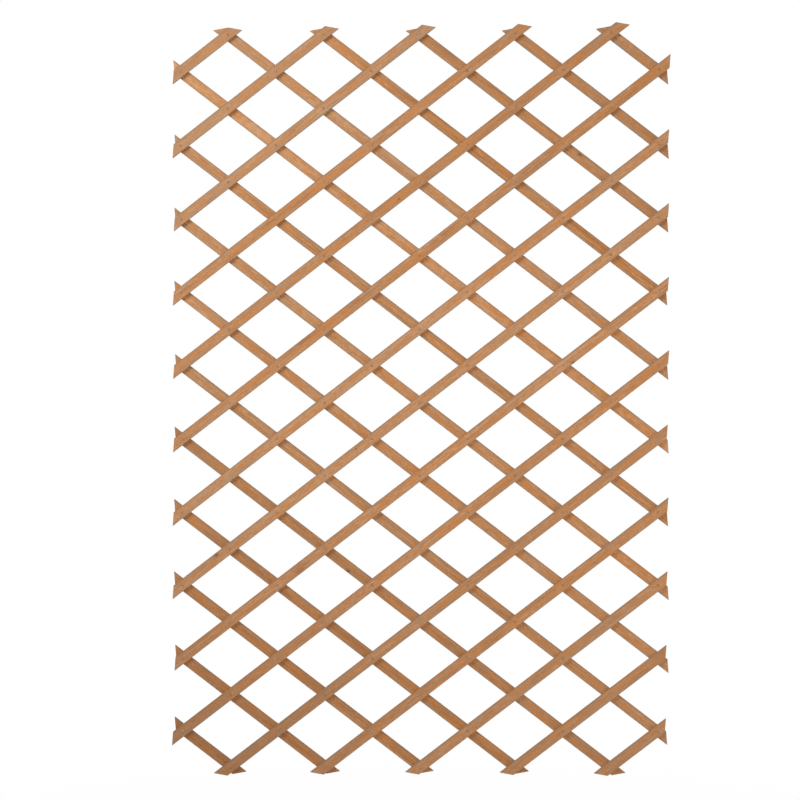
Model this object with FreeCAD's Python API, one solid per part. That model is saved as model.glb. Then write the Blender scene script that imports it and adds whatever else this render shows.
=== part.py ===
# Expanding garden trellis: two layers of straight wooden laths that cross like scissors,
# with one rivet through every crossing, so that the whole lattice opens and closes as one.
# The front layer rises to the right and the back layer falls to the right.
# Millimetres, +Z up, X across the panel, and the front faces -Y. The origin is at the centre
# crossing, in the plane of the rivets' rear ends, which is the plane of the wall behind.
import FreeCAD, Part
import math
import os

# Lattice, opened as in the photograph
COLUMN_COUNT = 5
ROW_COUNT = 10
RIVET_PITCH = 144.0
LATH_ANGLE = 37.6

# Laths: RIVET_PITCH runs along a lath, and its ends reach END_OVERHANG past the last rivet
LATH_WIDTH = 25.0
LATH_THICKNESS = 6.0
END_OVERHANG = 25.0
END_CUT_ANGLE = 48.0

# Rivets: a low head in front, a rolled tail behind
SHANK_DIAMETER = 3.0
HEAD_DIAMETER = 5.2
HEAD_TOP_DIAMETER = 3.6
HEAD_HEIGHT = 1.2
TAIL_DIAMETER = 4.8
TAIL_END_DIAMETER = 4.0
TAIL_HEIGHT = 1.2

# Running clearances: between the layers, and round the shank and before the tail
LAYER_GAP = 0.2
RIVET_CLEARANCE = 0.1

# Length by which a drill passes both faces of a lath
OVERRUN = 1.0

# Rivets and bores repeat at every crossing, so that few sides stand for their round form
ROUND_SIDES = 6

# The laths were cut by hand to uneven lengths. Each lath's two overhangs, as shares of
# END_OVERHANG, from the lath at the upper left corner (front) or lower left corner (back).
FRONT_LEFT_SHARES = (0.85, 0.9, 0.8, 0.95, 0.95, 1.0, 1.1, 1.15, 0.95, 1.3, 1.2, 1.0, 0.95, 1.0, 1.1)
FRONT_RIGHT_SHARES = (0.9, 1.05, 1.2, 1.25, 1.45, 1.35, 1.2, 1.2, 1.2, 1.25, 1.1, 1.2, 1.1, 1.0, 0.95)
BACK_LEFT_SHARES = (1.0, 0.9, 1.0, 0.95, 0.85, 0.75, 0.8, 0.75, 0.7, 0.8, 0.95, 0.8, 0.75, 0.7, 0.9)
BACK_RIGHT_SHARES = (1.05, 0.95, 0.85, 0.9, 1.1, 1.15, 1.3, 1.3, 1.2, 1.25, 1.2, 1.05, 1.15, 1.2, 1.1)

# Depths, counted forwards from the wall plane
TAIL_SEAT = TAIL_HEIGHT
BACK_LAYER = TAIL_SEAT + RIVET_CLEARANCE
FRONT_LAYER = BACK_LAYER + LATH_THICKNESS + LAYER_GAP
HEAD_SEAT = FRONT_LAYER + LATH_THICKNESS
HEAD_FRONT = HEAD_SEAT + HEAD_HEIGHT

# Half a diamond's width and height between rivets
SLOPE = math.radians(LATH_ANGLE)
COLUMN_STEP = RIVET_PITCH * math.cos(SLOPE)
ROW_STEP = RIVET_PITCH * math.sin(SLOPE)

LAST_COLUMN = 2 * COLUMN_COUNT
LAST_ROW = 2 * ROW_COUNT

# Both families rise (+1) or fall (-1) to the right
FRONT = 1
BACK = -1


def rivet_places():
    """Grid places (column, row) of all crossings. Rows count down from the top, and every
    second place of the grid is a crossing, the centre one included."""
    return [
        (column, row)
        for row in range(LAST_ROW + 1)
        for column in range(LAST_COLUMN + 1)
        if (column - COLUMN_COUNT + row - ROW_COUNT) % 2 == 0
    ]


def place_in_panel(column, row):
    """X and Z of a crossing."""
    return (column - COLUMN_COUNT) * COLUMN_STEP, (ROW_COUNT - row) * ROW_STEP


def lath_lines(family):
    """The crossings under each lath of a family, each lath from left to right. The first lath
    cuts the upper left corner (front) or the lower left corner (back)."""
    lines = {}
    for column, row in rivet_places():
        lines.setdefault(column + family * row, []).append((column, row))
    return [sorted(lines[key]) for key in sorted(lines) if len(lines[key]) > 1]


def polygon_prism(points, near, depth):
    """A prism over a polygon of (x, z) points, from the depth near to near + depth."""
    corners = [FreeCAD.Vector(x, -near, z) for x, z in points]
    return Part.Face(Part.makePolygon(corners + corners[:1])).extrude(FreeCAD.Vector(0, -depth, 0))


def round_ring(x, z, radius):
    """Corners of the many-sided circle that stands for a round outline."""
    turn = 2 * math.pi / ROUND_SIDES
    return [(x + radius * math.cos(n * turn), z + radius * math.sin(n * turn)) for n in range(ROUND_SIDES)]


def end_lean(family, at_side):
    """Which edge of a lath is the longer at its left end: +1 the upper one, -1 the lower one.
    Cuts at the panel's sides are nearly upright, and cuts along its top and foot nearly level."""
    return -family if at_side else family


def lath_outline(family, line, left_overhang, right_overhang):
    """The lath's four corners, with slanting cuts across both ends."""
    along = (math.cos(SLOPE), family * math.sin(SLOPE))
    across = (-along[1], along[0])
    cut_run = LATH_WIDTH / 2 / math.tan(math.radians(END_CUT_ANGLE))
    left_lean = end_lean(family, line[0][0] == 0)
    right_lean = -end_lean(family, line[-1][0] == LAST_COLUMN)
    length = (len(line) - 1) * RIVET_PITCH
    corners = [
        (-left_overhang + left_lean * cut_run, -1),
        (length + right_overhang - right_lean * cut_run, -1),
        (length + right_overhang + right_lean * cut_run, 1),
        (-left_overhang - left_lean * cut_run, 1),
    ]
    x, z = place_in_panel(*line[0])
    return [
        (x + run * along[0] + side * LATH_WIDTH / 2 * across[0],
         z + run * along[1] + side * LATH_WIDTH / 2 * across[1])
        for run, side in corners
    ]


def lath(family, line, left_share, right_share):
    """One lath with a rivet bore at each of its crossings."""
    near = FRONT_LAYER if family == FRONT else BACK_LAYER
    outline = lath_outline(family, line, left_share * END_OVERHANG, right_share * END_OVERHANG)
    bore_radius = (SHANK_DIAMETER / 2 + RIVET_CLEARANCE) / math.cos(math.pi / ROUND_SIDES)
    drills = [
        polygon_prism(
            round_ring(*place_in_panel(column, row), bore_radius),
            near - OVERRUN,
            LATH_THICKNESS + 2 * OVERRUN,
        )
        for column, row in line
    ]
    return polygon_prism(outline, near, LATH_THICKNESS).cut(Part.makeCompound(drills))


def rivet(column, row):
    """One rivet as a turned form: its profile of (depth, diameter) from the tail's end to the head."""
    profile = (
        (0, TAIL_END_DIAMETER),
        (TAIL_SEAT, TAIL_DIAMETER),
        (TAIL_SEAT, SHANK_DIAMETER),
        (HEAD_SEAT, SHANK_DIAMETER),
        (HEAD_SEAT, HEAD_DIAMETER),
        (HEAD_FRONT, HEAD_TOP_DIAMETER),
    )
    rings = []
    for depth, diameter in profile:
        ring = round_ring(*place_in_panel(column, row), diameter / 2)
        rings.append([FreeCAD.Vector(x, -depth, z) for x, z in ring])
    outlines = [rings[0][::-1], rings[-1]]
    for ring, following in zip(rings, rings[1:]):
        for n in range(ROUND_SIDES):
            outlines.append([ring[n - 1], ring[n], following[n], following[n - 1]])
    faces = [Part.Face(Part.makePolygon(corners + corners[:1])) for corners in outlines]
    return Part.Solid(Part.Shell(faces)).removeSplitter()


def export(node, solids):
    shape = solids[0] if len(solids) == 1 else Part.makeCompound(solids)
    shape.exportStep(os.path.join("parts", node + ".step"))


def main():
    os.makedirs("parts", exist_ok=True)
    centre = (COLUMN_COUNT, ROW_COUNT)
    front_lines = lath_lines(FRONT)
    back_lines = lath_lines(BACK)
    for number, line in enumerate(front_lines):
        left_share = FRONT_LEFT_SHARES[number % len(FRONT_LEFT_SHARES)]
        right_share = FRONT_RIGHT_SHARES[number % len(FRONT_RIGHT_SHARES)]
        export(f"front_lath_{number + 1:02d}", [lath(FRONT, line, left_share, right_share)])
        rivets = [rivet(*place) for place in line if place != centre]
        export(f"rivets_{number + 1:02d}", rivets)
    for number, line in enumerate(back_lines):
        left_share = BACK_LEFT_SHARES[number % len(BACK_LEFT_SHARES)]
        right_share = BACK_RIGHT_SHARES[number % len(BACK_RIGHT_SHARES)]
        export(f"back_lath_{number + 1:02d}", [lath(BACK, line, left_share, right_share)])
    export("centre_rivet", [rivet(*centre)])


main()
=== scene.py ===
import math

import bpy
from mathutils import Matrix, Vector


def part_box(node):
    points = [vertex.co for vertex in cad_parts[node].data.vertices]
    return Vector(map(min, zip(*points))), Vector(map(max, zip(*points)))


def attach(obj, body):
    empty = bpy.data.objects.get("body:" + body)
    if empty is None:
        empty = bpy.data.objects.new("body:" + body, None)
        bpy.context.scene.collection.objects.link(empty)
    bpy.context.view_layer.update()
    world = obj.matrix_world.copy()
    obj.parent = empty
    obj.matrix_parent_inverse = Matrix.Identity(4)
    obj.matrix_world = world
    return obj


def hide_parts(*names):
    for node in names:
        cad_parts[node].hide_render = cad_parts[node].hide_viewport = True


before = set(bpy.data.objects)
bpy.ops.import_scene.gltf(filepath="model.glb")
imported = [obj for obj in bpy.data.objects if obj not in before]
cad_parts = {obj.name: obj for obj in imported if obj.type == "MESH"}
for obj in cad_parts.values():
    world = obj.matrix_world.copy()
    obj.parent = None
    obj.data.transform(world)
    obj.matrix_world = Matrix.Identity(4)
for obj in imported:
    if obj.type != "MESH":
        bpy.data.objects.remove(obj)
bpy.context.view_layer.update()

# Expanding garden trellis: stained wooden laths crossing in two layers, with one rivet through
# every crossing. Metres, +Z up, and the front faces -Y, as in the frame.

MM = 0.001

# The lattice as it stands open
COLUMN_COUNT = 5
ROW_COUNT = 10
RIVET_PITCH = 144 * MM
LATH_SLOPE = math.radians(37.6)
FRONT_LATHS = 15
BACK_LATHS = 15
FRONT = 1
BACK = -1

COLUMN_STEP = RIVET_PITCH * math.cos(LATH_SLOPE)
ROW_STEP = RIVET_PITCH * math.sin(LATH_SLOPE)

# Laths: the sawn blank is longer than the lath, and its ends are then cut at a slant
BLANK_SPARE = 40 * MM
ARRIS = 0.7 * MM
ARRIS_STEPS = 2
EDGE_REACH = 2 * MM
BORE_RADIUS = 1.62 * MM
BORE_SIDES = 12
DRILL_OVERRUN = 2 * MM

# Rivets, as a turned profile: (distance from the wall plane, radius), from the rolled tail to the head
RIVET_SIDES = 12
RIVET_PROFILE = (
    (0.45 * MM, 0.95 * MM),
    (0.02 * MM, 1.5 * MM),
    (0.3 * MM, 2.15 * MM),
    (1.2 * MM, 2.35 * MM),
    (1.2 * MM, 1.5 * MM),
    (13.5 * MM, 1.5 * MM),
    (13.5 * MM, 2.58 * MM),
    (14.15 * MM, 2.3 * MM),
    (14.6 * MM, 1.35 * MM),
)
CROWN_RISE = 0.08 * MM
CROWN_SHARE = 0.4
GOLDEN_TURN = math.radians(137.5)

# Smooth shading runs over edges that are blunter than this
SMOOTH_ANGLE = math.radians(50)


def only(*objects):
    """Selects these objects alone."""
    bpy.ops.object.select_all(action="DESELECT")
    for item in objects:
        item.select_set(True)
    bpy.context.view_layer.objects.active = objects[0]


def finish_modifiers(item):
    only(item)
    for modifier in list(item.modifiers):
        bpy.ops.object.modifier_apply(modifier=modifier.name)


def place_in_mesh(item):
    """Leaves the object at the origin, with its place in its mesh."""
    only(item)
    bpy.ops.object.transform_apply(location=True, rotation=True, scale=True)


def crossings():
    """The rivets' places in the panel, as points in the wall plane."""
    return [
        Vector(((column - COLUMN_COUNT) * COLUMN_STEP, 0, (ROW_COUNT - row) * ROW_STEP))
        for row in range(2 * ROW_COUNT + 1)
        for column in range(2 * COLUMN_COUNT + 1)
        if (column - COLUMN_COUNT + row - ROW_COUNT) % 2 == 0
    ]


# Laths


class Lath:
    """What the frame says of one lath: where its two long edges begin and end."""

    def __init__(self, family, number):
        self.node = f"{'front' if family == FRONT else 'back'}_lath_{number:02d}"
        self.family = family
        self.number = number
        self.slope = family * LATH_SLOPE
        self.along = Vector((math.cos(self.slope), 0, math.sin(self.slope)))
        self.across = Vector((-math.sin(self.slope), 0, math.cos(self.slope)))
        points = [vertex.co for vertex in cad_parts[self.node].data.vertices]
        heights = [point.dot(self.across) for point in points]
        self.lower = min(heights)
        self.upper = max(heights)
        self.middle = (self.lower + self.upper) / 2
        foot = [p.dot(self.along) for p, h in zip(points, heights) if h < self.lower + EDGE_REACH]
        top = [p.dot(self.along) for p, h in zip(points, heights) if h > self.upper - EDGE_REACH]
        self.left_cut = (min(foot), min(top))
        self.right_cut = (max(foot), max(top))
        low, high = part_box(self.node)
        self.front_face = low.y
        self.back_face = high.y
        self.depth = (low.y + high.y) / 2
        self.start = min(self.left_cut)
        self.end = max(self.right_cut)

    def point(self, run, height):
        return self.along * run + self.across * height + Vector((0, self.depth, 0))

    def centre(self):
        return self.point((self.start + self.end) / 2, self.middle)

    def rivet_runs(self):
        """How far along the lath its rivets sit."""
        return sorted(
            place.dot(self.along)
            for place in crossings()
            if abs(place.dot(self.across) - self.middle) < EDGE_REACH
        )


def drill_bores(item, lath):
    """Bores the lath through at each of its rivets."""
    length = lath.back_face - lath.front_face + 2 * DRILL_OVERRUN
    drills = []
    for run in lath.rivet_runs():
        bpy.ops.mesh.primitive_cylinder_add(
            vertices=BORE_SIDES,
            radius=BORE_RADIUS,
            depth=length,
            location=lath.point(run, lath.middle),
            rotation=(math.pi / 2, 0, 0),
        )
        drills.append(bpy.context.object)
    only(*drills)
    if len(drills) > 1:
        bpy.ops.object.join()
    drill = bpy.context.object
    bore = item.modifiers.new("bores", "BOOLEAN")
    bore.operation = "DIFFERENCE"
    bore.solver = "EXACT"
    bore.object = drill
    finish_modifiers(item)
    bpy.data.objects.remove(drill)


def saw_lath(lath):
    """A planed blank, cut at a slant across both ends, with its arrises eased and its bores drilled."""
    length = lath.end - lath.start + BLANK_SPARE
    bpy.ops.mesh.primitive_cube_add(
        size=1,
        location=lath.centre(),
        rotation=(0, -lath.slope, 0),
        scale=(length, lath.back_face - lath.front_face, lath.upper - lath.lower),
    )
    item = bpy.context.object
    item.name = lath.node + "_sawn"
    place_in_mesh(item)
    bpy.ops.object.mode_set(mode="EDIT")
    for (foot, top), outwards in ((lath.left_cut, -1), (lath.right_cut, 1)):
        lower_corner = lath.point(foot, lath.lower)
        upper_corner = lath.point(top, lath.upper)
        cut = (upper_corner - lower_corner).normalized()
        facing = Vector((cut.z, 0, -cut.x)) * outwards
        bpy.ops.mesh.select_all(action="SELECT")
        bpy.ops.mesh.bisect(plane_co=lower_corner, plane_no=facing, use_fill=True, clear_outer=True)
    bpy.ops.mesh.select_all(action="SELECT")
    bpy.ops.mesh.bevel(offset=ARRIS, segments=ARRIS_STEPS, affect="EDGES")
    bpy.ops.object.mode_set(mode="OBJECT")
    drill_bores(item, lath)
    only(item)
    bpy.ops.object.shade_smooth_by_angle(angle=SMOOTH_ANGLE)
    weighted = item.modifiers.new("flat_faces", "WEIGHTED_NORMAL")
    weighted.keep_sharp = True
    finish_modifiers(item)
    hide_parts(lath.node)
    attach(item, lath.node)
    return item


# Rivets


def turn_rivet():
    """One rivet on the origin's axis: a rolled tail, a shank and a low domed head."""
    first_depth, first_radius = RIVET_PROFILE[0]
    bpy.ops.mesh.primitive_circle_add(
        vertices=RIVET_SIDES,
        radius=first_radius,
        fill_type="NGON",
        location=(0, -first_depth, 0),
        rotation=(math.pi / 2, 0, 0),
    )
    item = bpy.context.object
    place_in_mesh(item)
    bpy.ops.object.mode_set(mode="EDIT")
    bpy.ops.mesh.select_all(action="SELECT")
    depth, radius = first_depth, first_radius
    for next_depth, next_radius in RIVET_PROFILE[1:]:
        share = next_radius / radius
        bpy.ops.mesh.extrude_region_move(TRANSFORM_OT_translate={"value": (0, depth - next_depth, 0)})
        bpy.ops.transform.resize(value=(share, 1, share), center_override=(0, -next_depth, 0))
        depth, radius = next_depth, next_radius
    bpy.ops.mesh.inset(thickness=radius * (1 - CROWN_SHARE))
    bpy.ops.transform.translate(value=(0, -CROWN_RISE, 0))
    bpy.ops.mesh.select_all(action="SELECT")
    bpy.ops.mesh.normals_make_consistent(inside=False)
    bpy.ops.object.mode_set(mode="OBJECT")
    only(item)
    bpy.ops.object.shade_smooth_by_angle(angle=SMOOTH_ANGLE)
    return item


def set_rivets(pattern, node, places):
    """Copies of the turned rivet at these crossings, as one piece that stands for the node."""
    copies = []
    for number, place in enumerate(places):
        item = pattern.copy()
        item.data = pattern.data.copy()
        turned = Matrix.Rotation(number * GOLDEN_TURN, 4, "Y")
        item.data.transform(Matrix.Translation(place) @ turned)
        bpy.context.scene.collection.objects.link(item)
        copies.append(item)
    only(*copies)
    if len(copies) > 1:
        bpy.ops.object.join()
    rivets = bpy.context.object
    rivets.name = node + "_turned"
    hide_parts(node)
    return rivets


# Finishes

# A seed moves its pattern by this much along each axis, in the pattern's own sizes
SEED_SHIFT = (1, 0.37, 0.71)

# A colour Mix node's sockets, and its result
MIX_SHARE, MIX_FIRST, MIX_OTHER = 0, 6, 7
MIX_COLOUR = 2


class Level:
    """A number, colour or direction at each point of a surface. Python's signs reckon with numbers."""

    def __init__(self, socket):
        self.socket = socket

    def reckon(self, operation, first, second=0.0):
        tree = self.socket.id_data
        node = tree.nodes.new("ShaderNodeMath")
        node.operation = operation
        for entry, value in zip(node.inputs, (first, second)):
            if isinstance(value, Level):
                tree.links.new(value.socket, entry)
            else:
                entry.default_value = value
        return Level(node.outputs[0])

    def __add__(self, other):
        return self.reckon("ADD", self, other)

    def __radd__(self, other):
        return self.reckon("ADD", other, self)

    def __sub__(self, other):
        return self.reckon("SUBTRACT", self, other)

    def __rsub__(self, other):
        return self.reckon("SUBTRACT", other, self)

    def __mul__(self, other):
        return self.reckon("MULTIPLY", self, other)

    def __rmul__(self, other):
        return self.reckon("MULTIPLY", other, self)

    def __truediv__(self, other):
        return self.reckon("DIVIDE", self, other)

    def __pow__(self, other):
        return self.reckon("POWER", self, other)

    def __mod__(self, other):
        return self.reckon("FLOORED_MODULO", self, other)

    def __abs__(self):
        return self.reckon("ABSOLUTE", self)


class Finish:
    """The nodes of one material or of the world."""

    def __init__(self, owner):
        owner.use_nodes = True
        self.owner = owner
        self.tree = owner.node_tree

    def node(self, kind, settings, sockets, result=0):
        """Adds a node of this kind: its settings first, then its sockets' values or links."""
        node = self.tree.nodes.new(kind)
        for name, value in settings.items():
            setattr(node, name, value)
        self.connect(node, sockets)
        return Level(node.outputs[result])

    def connect(self, node, sockets):
        for name, value in sockets.items():
            if isinstance(value, Level):
                self.tree.links.new(value.socket, node.inputs[name])
            else:
                node.inputs[name].default_value = value

    def surface(self, **sockets):
        """Sets the shader's sockets. A name's underscores stand for spaces."""
        shader = self.tree.nodes["Principled BSDF"]
        self.connect(shader, {name.replace("_", " "): value for name, value in sockets.items()})

    def object_place(self):
        return self.node("ShaderNodeTexCoord", {}, {}, "Object")

    def spread(self, place, size, fineness, seed):
        """Patches from 0 to 1 of this size (x, y, z)."""
        fitted = self.node(
            "ShaderNodeMapping",
            {"vector_type": "POINT"},
            {
                "Vector": place,
                "Location": [seed * share for share in SEED_SHIFT],
                "Scale": [1 / length for length in size],
            },
        )
        return self.node("ShaderNodeTexNoise", {}, {"Vector": fitted, "Scale": 1.0, "Detail": fineness})

    def rise(self, level, low, high):
        """0 below low and 1 above high, smoothly in between."""
        return self.node(
            "ShaderNodeMapRange",
            {"interpolation_type": "SMOOTHSTEP"},
            {"Value": level, "From Min": low, "From Max": high},
        )

    def fall(self, level, low, high):
        """1 below low and 0 above high, smoothly in between."""
        return 1.0 - self.rise(level, low, high)

    def blend(self, share, colour, other):
        sockets = {MIX_SHARE: share, MIX_FIRST: colour, MIX_OTHER: other}
        return self.node("ShaderNodeMix", {"data_type": "RGBA"}, sockets, MIX_COLOUR)

    def vector_maths(self, operation, *vectors):
        sockets = dict(enumerate(vectors))
        return self.node("ShaderNodeVectorMath", {"operation": operation}, sockets, "Value")

    def bump(self, height, strength, depth):
        sockets = {"Strength": strength, "Distance": depth, "Height": height}
        return self.node("ShaderNodeBump", {}, sockets, "Normal")


# Stained softwood: how a colour is written here is how it renders in plain light
PALE_WOOD = (0.640, 0.338, 0.168, 1)
DEEP_WOOD = (0.370, 0.152, 0.050, 1)
ORANGE_WOOD = (0.575, 0.222, 0.058, 1)
# Dark stain round knots, and the colour of painted shade at the rims, the lower left corner and the
# rivets
DARK_STAIN_AND_SHADE = (0.215, 0.105, 0.052, 1)
END_GRAIN = (0.250, 0.125, 0.062, 1)
GREYED_WOOD = (0.360, 0.250, 0.160, 1)
DUST = (0.500, 0.310, 0.200, 1)
KNOT_HEART = (0.105, 0.045, 0.024, 1)

# Patterns in the wood: size along, through and across the lath in mm, fineness, and own seed.
# They all run from 0 to 1, about MIDDLE.
MIDDLE = 0.5
PATTERNS = {
    "wander": ((310, 40, 40), 1.0, 0),
    "jitter": ((160, 4, 4), 2.0, 5),
    "broad": ((200, 20, 16), 1.0, 11),
    "streak": ((130, 3.6, 3), 4.0, 17),
    "fleck": ((34, 2.2, 1.7), 4.0, 41),
    "fibre": ((24, 0.5, 0.5), 2.0, 23),
    "pore": ((7, 0.5, 0.5), 1.0, 37),
    "blotch": ((13, 6, 5), 4.0, 67),
    "warmth": ((90, 9, 7), 5.0, 29),
    "dullness": ((120, 10, 8), 5.0, 53),
}
PORE_RANGE = (0.60, 0.70)

# Growth rings about a pith that lies beside the lath. A SPREAD is how far laths differ from
# each other, and a SWING is how fast that changes with a lath's seed.
RING_SPACING = 1.7 * MM
RING_SPREAD = 0.35
RING_SWING = 5.1
PITH_SIDE_SPREAD = 46 * MM
PITH_SIDE_SWING = 2.3
PITH_DEPTH = 30 * MM
PITH_DEPTH_SPREAD = 14 * MM
PITH_DEPTH_SWING = 1.7
RUNOUT = 0.012
RUNOUT_SWING = 3.1
SIDE_WANDER = 9 * MM
DEPTH_WANDER = 5 * MM
RING_JITTER = 0.8

# Where in a ring, from 0 to 1, the dark late wood sets in, and where it ends
LATE_WOOD_START = (0.35, 0.85)
LATE_WOOD_END = (0.92, 1.0)

# How much each pattern darkens the wood, and the tones at which it is all pale and all deep
LATE_WOOD_MEAN = 0.3
LATE_WOOD_TONE = 0.55
PATTERN_TONES = {"broad": 1.0, "streak": 0.85, "fleck": 1.7, "fibre": 1.1, "blotch": 1.4}
PORE_TONE = 0.25
TONE_RANGE = (-0.25, 1.25)

# Orange and dull grey patches
WARMTH_BLOTCHES = 0.6
WARMTH_RANGE = (0.42, 0.66)
ORANGE_SHARE = 0.85
DULL_RANGE = (0.45, 0.75)
DULL_SHARE = 0.4

# Greying along the edges, and painted shade along the edges and arrises, most along the upper
# edge: how far in from the edge each starts and is full, and its share
GREYED_EDGE = (5 * MM, 1 * MM, 0.45)
SHADED_RIM = (1.3 * MM, 0, 0.12)
SHADED_ARRIS = (0.9 * MM, -0.9 * MM, 0.06)
SHADED_UPPER_RIM = (4.5 * MM, 1.5 * MM, 0.2)

# The front layer has caught a little dust, and the back one none
FRONT_DUST = 0.08

# Painted shade: the wood darkens towards the panel's lower left corner
SHADED_CORNER = (-0.57, 0, -0.90)
SHADED_CORNER_REACH = 0.75
SHADED_CORNER_SHARE = 0.36

# Stain and painted shade gathered round each rivet
RIVET_STAIN_AND_SHADE_RANGE = (2.6 * MM, 4.4 * MM)
RIVET_STAIN_AND_SHADE_SHARE = 0.16

# Sawn ends, by how far a face turns towards the lath's length
END_RANGE = (0.3, 0.6)
END_SHARE = 0.5
END_LATE_WOOD = 0.35

# How high each pattern stands, and how rough it leaves the wood
RELIEF = {"late_wood": 0.3, "streak": 0.3, "fleck": 0.4, "fibre": 0.6, "pore": -0.4}
WOOD_BUMP = 0.4
WOOD_BUMP_DEPTH = 0.15 * MM
WOOD_ROUGHNESS = 0.78
LATE_WOOD_SHEEN = 0.1
FIBRE_ROUGHNESS = 0.12

# Knots seen in the laths: (rivet spaces from the first rivet, share of the half width above the
# middle, radius, darkness). They are longer than wide by KNOT_STRETCH.
KNOTS = {
    "back_lath_13": ((3.33, 0.48, 2.6 * MM, 0.75),),
    "front_lath_08": ((0.76, 0.55, 3.6 * MM, 0.6), (3.69, 0.28, 2.4 * MM, 0.35)),
    "back_lath_05": ((3.54, -0.72, 3.0 * MM, 0.9),),
    "front_lath_09": ((8.17, -0.8, 3.4 * MM, 0.6), (2.45, -0.3, 9 * MM, 0.25)),
    "front_lath_05": ((4.56, -0.3, 2.6 * MM, 0.4),),
    "back_lath_07": ((6.44, -0.45, 2.8 * MM, 0.35),),
}
KNOT_STRETCH = 1.5

# Round a knot, in its radii: how far off rings still bend, how far they bend, and where its dark
# surround and its heart end
KNOT_BEND_REACH = 3.0
KNOT_BEND = 1.6
KNOT_RING_REACH = 2.4
KNOT_RING_SHARE = 0.45
KNOT_HEART_RANGE = (0.45, 1.1)


class LathWood(Finish):
    """Straight-grained, stained wood along one lath."""

    def __init__(self, lath, seed):
        super().__init__(bpy.data.materials.new(lath.node + "_wood"))
        self.lath = lath
        self.seed = seed
        self.place = self.object_place()
        turned = {"Vector": self.place, "Location": lath.centre(), "Rotation": (0, -lath.slope, 0)}
        self.own = self.node("ShaderNodeMapping", {"vector_type": "TEXTURE"}, turned)
        parts = self.tree.nodes.new("ShaderNodeSeparateXYZ")
        self.connect(parts, {"Vector": self.own})
        self.run, self.deep, self.height = (Level(output) for output in parts.outputs)
        self.half_width = (lath.upper - lath.lower) / 2
        self.half_depth = (lath.back_face - lath.front_face) / 2
        self.first_rivet = lath.rivet_runs()[0] - (lath.start + lath.end) / 2
        self.knots = [self.knot(*row) for row in KNOTS.get(lath.node, ())]
        self.patterns = {name: self.pattern(*row) for name, row in PATTERNS.items()}
        self.patterns["pore"] = self.rise(self.patterns["pore"], *PORE_RANGE)
        self.patterns["late_wood"] = self.late_wood()

    def pattern(self, size, fineness, seed):
        return self.spread(self.own, [length * MM for length in size], fineness, self.seed + seed)

    def knot(self, spaces, share, size, darkness):
        """How far each point is from the knot, with the knot's size and darkness."""
        past = (self.run - (self.first_rivet + spaces * RIVET_PITCH)) / KNOT_STRETCH
        above = self.height - share * self.half_width
        return (past * past + above * above) ** 0.5, size, darkness

    def late_wood(self):
        """The dark part of each growth ring. The rings bend round the knots."""
        wander = self.patterns["wander"] - MIDDLE
        pith_side = math.sin(self.seed * PITH_SIDE_SWING) * PITH_SIDE_SPREAD
        pith_depth = PITH_DEPTH + math.cos(self.seed * PITH_DEPTH_SWING) * PITH_DEPTH_SPREAD
        lean = RUNOUT * math.sin(self.seed * RUNOUT_SWING)
        side = self.height - pith_side + self.run * lean + wander * SIDE_WANDER
        inward = self.deep - pith_depth + wander * DEPTH_WANDER
        radius = (side * side + inward * inward) ** 0.5
        for away, size, _ in self.knots:
            radius = radius + self.fall(away, 0.0, KNOT_BEND_REACH * size) * (KNOT_BEND * size)
        spacing = RING_SPACING * (1 + RING_SPREAD * math.sin(self.seed * RING_SWING))
        ring = (radius / spacing + (self.patterns["jitter"] - MIDDLE) * RING_JITTER) % 1.0
        return self.rise(ring, *LATE_WOOD_START) * self.fall(ring, *LATE_WOOD_END)

    def edge_wear_and_shade(self, level, edge, start, full, share):
        """Greyed wear or painted shade that grows from its start towards an edge of the lath."""
        return self.rise(level, edge - start, edge - full) * share

    def stain(self, lightness, greying):
        """The wood as stained, with its orange and greyed patches."""
        tone = MIDDLE + (self.patterns["late_wood"] - LATE_WOOD_MEAN) * LATE_WOOD_TONE
        for name, weight in PATTERN_TONES.items():
            tone = tone + (self.patterns[name] - MIDDLE) * weight
        tone = tone + self.patterns["pore"] * PORE_TONE - lightness
        colour = self.blend(self.rise(tone, *TONE_RANGE), PALE_WOOD, DEEP_WOOD)
        warmth = self.patterns["warmth"] + (self.patterns["blotch"] - MIDDLE) * WARMTH_BLOTCHES
        colour = self.blend(self.rise(warmth, *WARMTH_RANGE) * ORANGE_SHARE, colour, ORANGE_WOOD)
        edging = self.edge_wear_and_shade(abs(self.height), self.half_width, *GREYED_EDGE)
        dull = self.rise(self.patterns["dullness"], *DULL_RANGE) * DULL_SHARE
        colour = self.blend(edging + dull + greying, colour, GREYED_WOOD)
        if self.lath.family == FRONT:
            colour = self.blend(FRONT_DUST, colour, DUST)
        return colour

    def add_knots(self, colour):
        full, gone = KNOT_HEART_RANGE
        for away, size, darkness in self.knots:
            surround = self.fall(away, size, KNOT_RING_REACH * size) * (KNOT_RING_SHARE * darkness)
            heart = self.fall(away, full * size, gone * size) * darkness
            colour = self.blend(surround, colour, DARK_STAIN_AND_SHADE)
            colour = self.blend(heart, colour, KNOT_HEART)
        return colour

    def darken(self, colour):
        """Painted shade along the rims and towards the lower left corner, and stain with painted shade
        round the rivets.
        """
        # Painted shade: darker rims along the edges and arrises, most along the upper edge
        edge_shade = self.edge_wear_and_shade(abs(self.height), self.half_width, *SHADED_RIM)
        edge_shade = edge_shade + self.edge_wear_and_shade(abs(self.deep), self.half_depth, *SHADED_ARRIS)
        edge_shade = edge_shade + self.edge_wear_and_shade(self.height, self.half_width, *SHADED_UPPER_RIM)
        colour = self.blend(edge_shade, colour, DARK_STAIN_AND_SHADE)
        # Painted shade towards the lower left corner
        from_corner = self.vector_maths("DISTANCE", self.place, SHADED_CORNER)
        corner_shade = self.fall(from_corner, 0.0, SHADED_CORNER_REACH) * SHADED_CORNER_SHARE
        colour = self.blend(corner_shade, colour, DARK_STAIN_AND_SHADE)
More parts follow.
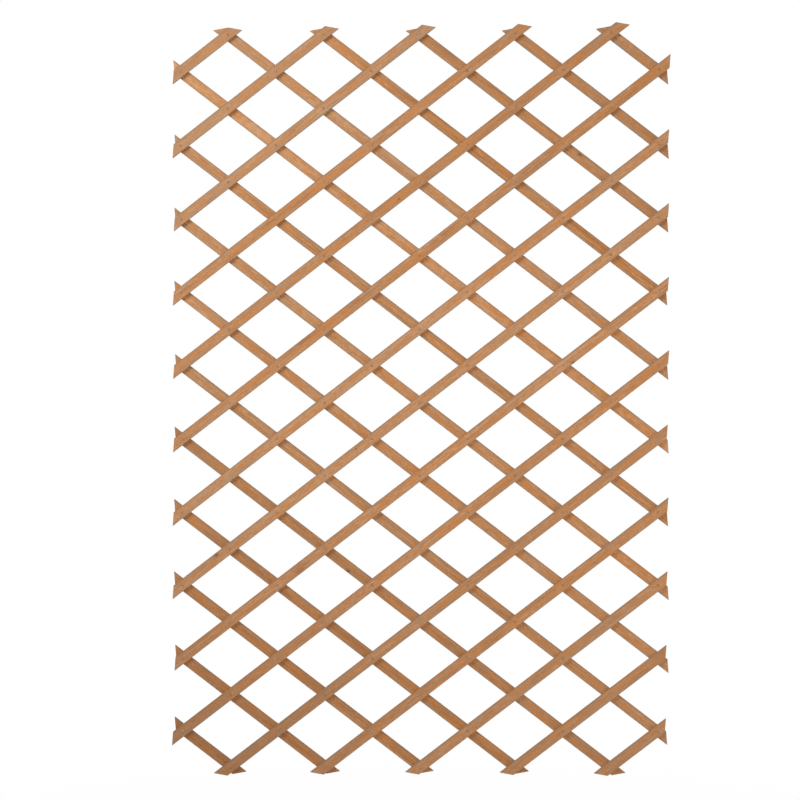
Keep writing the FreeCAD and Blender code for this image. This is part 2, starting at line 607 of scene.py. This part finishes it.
        # Round each rivet: partly stain, partly painted shade round its head
        half_pitch = RIVET_PITCH / 2
        to_rivet = (self.run - self.first_rivet + half_pitch) % RIVET_PITCH - half_pitch
        from_rivet = (to_rivet * to_rivet + self.height * self.height) ** 0.5
        rivet_stain_and_shade = self.fall(from_rivet, *RIVET_STAIN_AND_SHADE_RANGE) * RIVET_STAIN_AND_SHADE_SHARE
        return self.blend(rivet_stain_and_shade, colour, DARK_STAIN_AND_SHADE)

    def add_end_grain(self, colour):
        facing = self.node("ShaderNodeTexCoord", {}, {}, "Normal")
        along_lath = self.vector_maths("DOT_PRODUCT", facing, self.lath.along)
        end_grain = self.rise(abs(along_lath), *END_RANGE)
        share = END_SHARE + self.patterns["late_wood"] * END_LATE_WOOD
        return self.blend(end_grain * share, colour, END_GRAIN)

    def relief(self):
        level = sum(self.patterns[name] * share for name, share in RELIEF.items())
        return self.bump(level, WOOD_BUMP, WOOD_BUMP_DEPTH)

    def roughness(self):
        sheen = self.patterns["late_wood"] * LATE_WOOD_SHEEN
        return WOOD_ROUGHNESS - sheen + (self.patterns["fibre"] - MIDDLE) * FIBRE_ROUGHNESS


def lath_wood(lath, lightness, greying, seed):
    wood = LathWood(lath, seed)
    colour = wood.stain(lightness, greying)
    colour = wood.add_knots(colour)
    colour = wood.darken(colour)
    colour = wood.add_end_grain(colour)
    wood.surface(Base_Color=colour, Roughness=wood.roughness(), Normal=wood.relief())
    return wood.owner


# Plated steel of the rivets, dulled by weather and brownish where the plating has gone
BRIGHT_PLATING = (0.47, 0.36, 0.24, 1)
DULL_PLATING = (0.33, 0.19, 0.10, 1)
FILM_SIZE = 1.6 * MM
FILM_FINENESS = 3.0
FILM_SEED = 3.0
SINGLE_RIVET_SIZE = 60 * MM
SINGLE_RIVET_SEED = 8.0
SINGLE_RIVET_SHARE = 0.6
DULLED_RANGE = (0.35, 0.65)
RIVET_BUMP = 0.3
RIVET_BUMP_DEPTH = 0.1 * MM
BRIGHT_METALLIC = 0.7
DULLED_METALLIC_LOSS = 0.5
BRIGHT_ROUGHNESS = 0.42
DULLED_ROUGHNESS_GAIN = 0.28


def rivet_metal():
    finish = Finish(bpy.data.materials.new("dull_rivet_metal"))
    place = finish.object_place()
    film = finish.spread(place, [FILM_SIZE] * 3, FILM_FINENESS, FILM_SEED)
    single = finish.spread(place, [SINGLE_RIVET_SIZE] * 3, 0.0, SINGLE_RIVET_SEED)
    dulled = finish.rise(film + (single - MIDDLE) * SINGLE_RIVET_SHARE, *DULLED_RANGE)
    finish.surface(
        Base_Color=finish.blend(dulled, BRIGHT_PLATING, DULL_PLATING),
        Metallic=BRIGHT_METALLIC - dulled * DULLED_METALLIC_LOSS,
        Roughness=BRIGHT_ROUGHNESS + dulled * DULLED_ROUGHNESS_GAIN,
        Normal=finish.bump(film, RIVET_BUMP, RIVET_BUMP_DEPTH),
    )
    return finish.owner


# Making the panel

# How much paler or darker each lath took the stain, in steps
LIGHT_STEP = 0.07
FRONT_TONES = (-3, -0.5, 1.5, -1.5, -2, -1, 4, 4, 2, 1, -0.5, -0.5, -0.5, -3, -3)
BACK_TONES = (-9, -3, -3.5, -6, -5, -1.5, 0.5, 1, -1.5, 3.5, 3, -1, -3, -3.5, 2)

# How far each lath has gone grey, in steps
GREY_STEP = 0.07
FRONT_GREYING = (2.5, 2, 2.5, -0.5, 0, -0.5, 1, 1, -0.5, 0, 1.5, 0, 1.5, 1, 1.5)
BACK_GREYING = (1, -2, -1, 0, 1, 2, 1, 0.5, 1, -0.5, 2, 0, 1, 2, 2.5)

# Each lath's seed: a step from its neighbour's, and far from any of the other layer's
SEED_STEP = 7.3
BACK_SEED = 131.0


def dress(piece, material):
    piece.data.materials.clear()
    piece.data.materials.append(material)


front_laths = [Lath(FRONT, number) for number in range(1, FRONT_LATHS + 1)]
back_laths = [Lath(BACK, number) for number in range(1, BACK_LATHS + 1)]
for laths, tones, greyings, slot, first_seed in (
    (front_laths, FRONT_TONES, FRONT_GREYING, "front_laths", 0),
    (back_laths, BACK_TONES, BACK_GREYING, "back_laths", BACK_SEED),
):
    for lath, tone, greying in zip(laths, tones, greyings):
        seed = lath.number * SEED_STEP + first_seed
        dress(saw_lath(lath), lath_wood(lath, tone * LIGHT_STEP, greying * GREY_STEP, seed))

metal = rivet_metal()
rivet_pattern = turn_rivet()
for lath in front_laths:
    places = [lath.along * run + lath.across * lath.middle for run in lath.rivet_runs()]
    places = [place for place in places if place.length > EDGE_REACH]
    piece = set_rivets(rivet_pattern, f"rivets_{lath.number:02d}", places)
    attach(piece, lath.node)
    dress(piece, metal)
piece = set_rivets(rivet_pattern, "centre_rivet", [Vector((0, 0, 0))])
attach(piece, "centre_rivet")
dress(piece, metal)
bpy.data.objects.remove(rivet_pattern)

# Floor, light and camera

# Stretched to its full height, the lattice reaches ten rivet spaces below its middle. The floor
# lies clear of it there, since the panel hangs on a wall and doesn't stand.
FLOOR_SIZE = 120
FLOOR_LEVEL = -(ROW_COUNT * RIVET_PITCH + 60 * MM)
PALE_FLOOR = (0.62, 0.62, 0.615, 1)
FLOOR_ROUGHNESS = 0.8
FLOOR_ROUGHNESS_GAIN = 0.1
FLOOR_PATCH = 0.4
FLOOR_FINENESS = 2.0
FLOOR_SEED = 1.0

# Where the floor is looked at, it shows mostly its own white, and nothing else far away. The
# rest, near the panel, is its lit colour, so that the panel's shadow stays.
NEAR_FLOOR = 0.6
FAR_FLOOR = 3.0
NEAR_WHITE = 0.93
WHITE = (1, 1, 1, 1)


def seen_share(finish):
    """1 where the camera looks, directly, in a gloss or through glass, and 0 for other light."""
    path = finish.tree.nodes.new("ShaderNodeLightPath")
    names = ("Is Camera Ray", "Is Glossy Ray", "Is Transmission Ray")
    seen, glossy, through = (Level(path.outputs[name]) for name in names)
    return seen.reckon("MAXIMUM", seen.reckon("MAXIMUM", seen, glossy), through)


def pale_floor():
    finish = Finish(bpy.data.materials.new("pale_floor"))
    place = finish.object_place()
    patches = finish.spread(place, [FLOOR_PATCH] * 3, FLOOR_FINENESS, FLOOR_SEED)
    finish.surface(Base_Color=PALE_FLOOR, Roughness=FLOOR_ROUGHNESS + patches * FLOOR_ROUGHNESS_GAIN)
    plain = Level(finish.tree.nodes["Principled BSDF"].outputs[0])
    white = finish.node("ShaderNodeEmission", {}, {"Color": WHITE, "Strength": 1.0})
    away = finish.vector_maths("LENGTH", place)
    share = NEAR_WHITE + finish.rise(away, NEAR_FLOOR, FAR_FLOOR) * (1 - NEAR_WHITE)
    mixed = finish.node("ShaderNodeMixShader", {}, {0: seen_share(finish) * share, 1: plain, 2: white})
    finish.connect(finish.tree.nodes["Material Output"], {"Surface": mixed})
    finish.owner.cycles.emission_sampling = "NONE"
    return finish.owner


bpy.ops.mesh.primitive_plane_add(size=FLOOR_SIZE, location=(0, 0, FLOOR_LEVEL))
floor = bpy.context.object
floor.name = "floor"
floor.data.materials.append(pale_floor())

EVEN_LIGHT = 0.01
world = bpy.data.worlds.new("studio")
bpy.context.scene.world = world
sky = Finish(world)
strength = EVEN_LIGHT + seen_share(sky) * (1 - EVEN_LIGHT)
sky.connect(sky.tree.nodes["Background"], {"Color": WHITE, "Strength": strength})

# The key is a little cooler and the fill a little warmer than white. Together they are white.
COOL_LIGHT = (1.0, 1.10, 1.24)
WARM_LIGHT = (1.0, 0.90, 0.78)
WHITE_LIGHT = (1.0, 1.0, 1.0)

# Softboxes: place, size, power of the red in their light, and tint
SOFTBOXES = {
    "key": ((-2.27, -1.84, 2.11), 1.57, 98.3, COOL_LIGHT),
    "front": ((0.53, -2.96, 0.13), 0.87, 37.7, WARM_LIGHT),
    "side": ((1.45, -0.56, -0.54), 0.95, 4.4, WARM_LIGHT),
    "back": ((1.5, 2.0, 0.6), 1.3, 38, WHITE_LIGHT),
    "back_fill": ((-0.8, 2.4, 0.0), 1.0, 20, WHITE_LIGHT),
}


def hang_softbox(name, place, size, power, tint):
    """A square lamp that no camera sees, aimed at the panel's middle."""
    strongest = max(tint)
    light = bpy.data.lights.new(name, "AREA")
    light.size = size
    light.energy = power * strongest
    light.color = [share / strongest for share in tint]
    lamp = bpy.data.objects.new(name, light)
    lamp.location = place
    lamp.rotation_euler = (-Vector(place)).to_track_quat("-Z", "Y").to_euler()
    lamp.visible_camera = False
    lamp.visible_glossy = False
    bpy.context.scene.collection.objects.link(lamp)


for name, (place, size, power, tint) in SOFTBOXES.items():
    hang_softbox(name, place, size, power, tint)

CAMERA_PLACE = (0.0139, -3.9, 0.0907)
CAMERA_YAW = math.radians(-0.888)
CAMERA_PITCH = math.radians(-1.255)
CAMERA_ROLL = math.radians(-0.090)
CAMERA_LENS = 73.076
CAMERA_SENSOR = 36

lens = bpy.data.cameras.new("camera")
lens.lens = CAMERA_LENS
lens.sensor_width = CAMERA_SENSOR
camera = bpy.data.objects.new("camera", lens)
camera.location = CAMERA_PLACE
camera.rotation_euler = (
    Matrix.Rotation(-CAMERA_YAW, 3, "Z")
    @ Matrix.Rotation(math.pi / 2 + CAMERA_PITCH, 3, "X")
    @ Matrix.Rotation(CAMERA_ROLL, 3, "Z")
).to_euler()
bpy.context.scene.collection.objects.link(camera)
bpy.context.scene.camera = camera
bpy.context.scene.view_settings.view_transform = "Standard"
